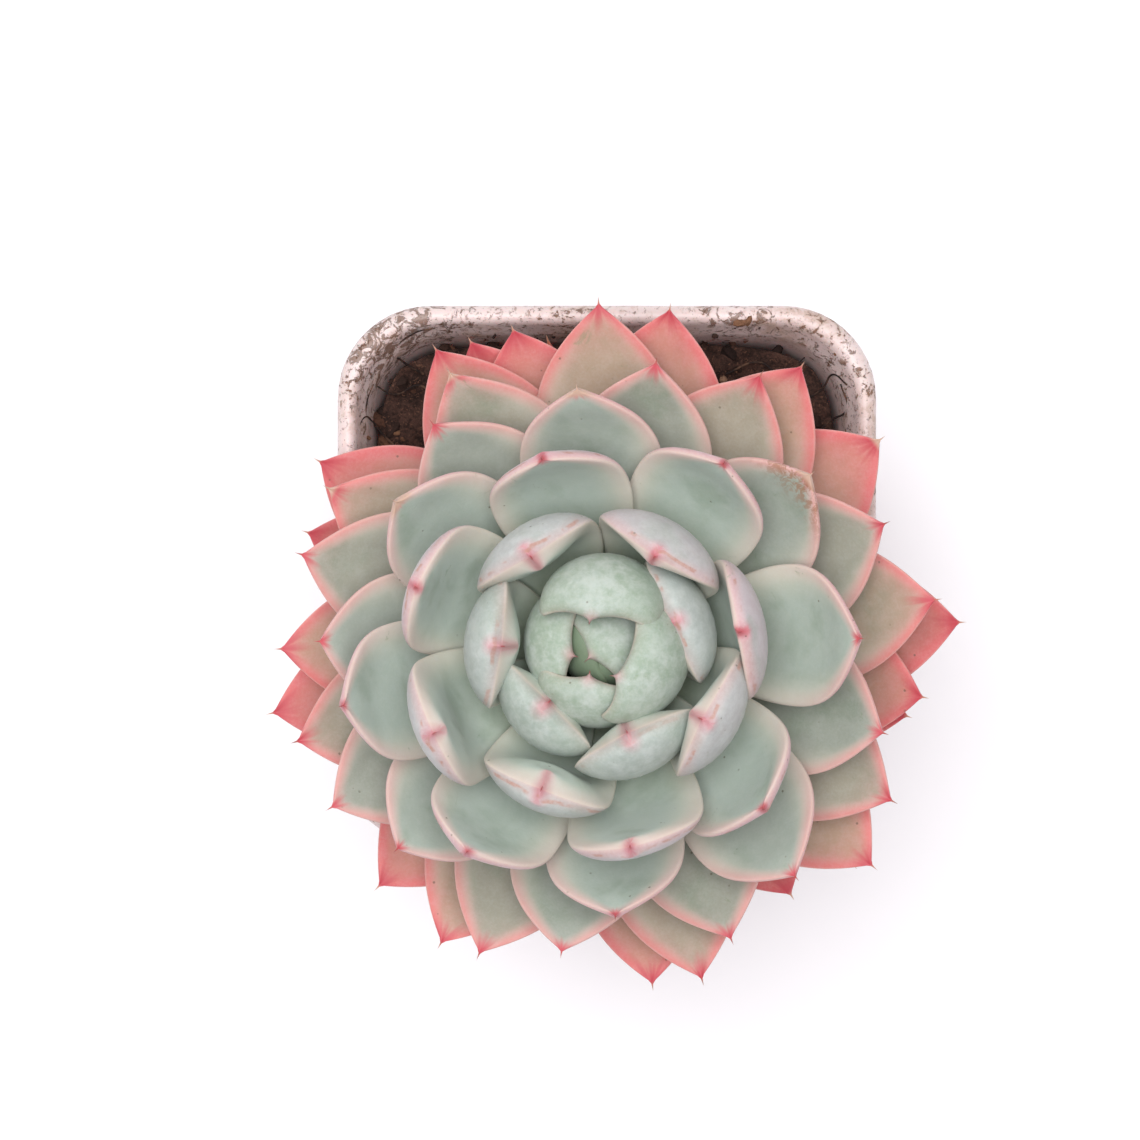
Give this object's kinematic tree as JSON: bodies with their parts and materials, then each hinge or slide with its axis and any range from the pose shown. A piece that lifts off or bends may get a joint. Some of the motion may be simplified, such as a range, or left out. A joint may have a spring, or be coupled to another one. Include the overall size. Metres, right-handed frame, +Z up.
{
  "type": "potted rosette succulent",
  "caption": "Rosette succulent with thick pointed leaves, grey-green with coral tips, growing from soil in a small square nursery pot.",
  "frame": {"origin": "centre of the pot's flat underside", "axes": "+Z up from the underside to the rosette; +Y towards the side of the pot where the soil shows; +X to the right seen from the front"},
  "size_m": [0.0819, 0.0805, 0.0968],
  "materials": {
    "pot_plastic": "slightly glossy, stained with soil",
    "potting_soil": "crumbly dark peat",
    "stem_bark": "dry, scarred",
    "bud_skin": "waxy bloom",
    "leaf_young": "waxy bloom",
    "leaf_middle": "waxy bloom, pink edge",
    "leaf_old": "waxy bloom, coral edge"
  },
  "bodies": {
    "root": {"bud": "bud_skin", "leaf_03": "leaf_young", "leaf_05": "leaf_young", "leaf_06": "leaf_young", "leaf_07": "leaf_young", "leaf_08": "leaf_young", "leaf_09": "leaf_young", "leaf_10": "leaf_young", "leaf_11": "leaf_young", "leaf_12": "leaf_young", "leaf_13": "leaf_middle", "leaf_14": "leaf_middle", "leaf_15": "leaf_middle", "leaf_16": "leaf_middle", "leaf_17": "leaf_middle", "leaf_18": "leaf_middle", "leaf_19": "leaf_middle", "leaf_20": "leaf_middle", "leaf_21": "leaf_middle", "leaf_22": "leaf_middle", "leaf_23": "leaf_middle", "leaf_24": "leaf_middle", "leaf_25": "leaf_middle", "leaf_26": "leaf_middle", "leaf_27": "leaf_middle", "leaf_28": "leaf_middle", "leaf_29": "leaf_middle", "leaf_30": "leaf_middle", "leaf_31": "leaf_old", "leaf_32": "leaf_old", "leaf_33": "leaf_old", "leaf_34": "leaf_old", "leaf_35": "leaf_old", "leaf_36": "leaf_old", "leaf_37": "leaf_old", "leaf_38": "leaf_old", "leaf_39": "leaf_old", "leaf_40": "leaf_old", "leaf_41": "leaf_old", "leaf_42": "leaf_old", "leaf_43": "leaf_old", "leaf_44": "leaf_old", "leaf_45": "leaf_old", "leaf_46": "leaf_old", "leaf_47": "leaf_old", "leaf_48": "leaf_old", "leaf_49": "leaf_old", "leaf_50": "leaf_old", "leaf_51": "leaf_old", "leaf_53": "leaf_old", "leaf_54": "leaf_old", "leaf_55": "leaf_old", "leaf_57": "leaf_old", "leaf_59": "leaf_old", "leaf_61": "leaf_old", "leaf_62": "leaf_old", "leaf_63": "leaf_old", "pot": "pot_plastic", "soil": "potting_soil", "stem": "stem_bark"}
  },
  "joints": []
}
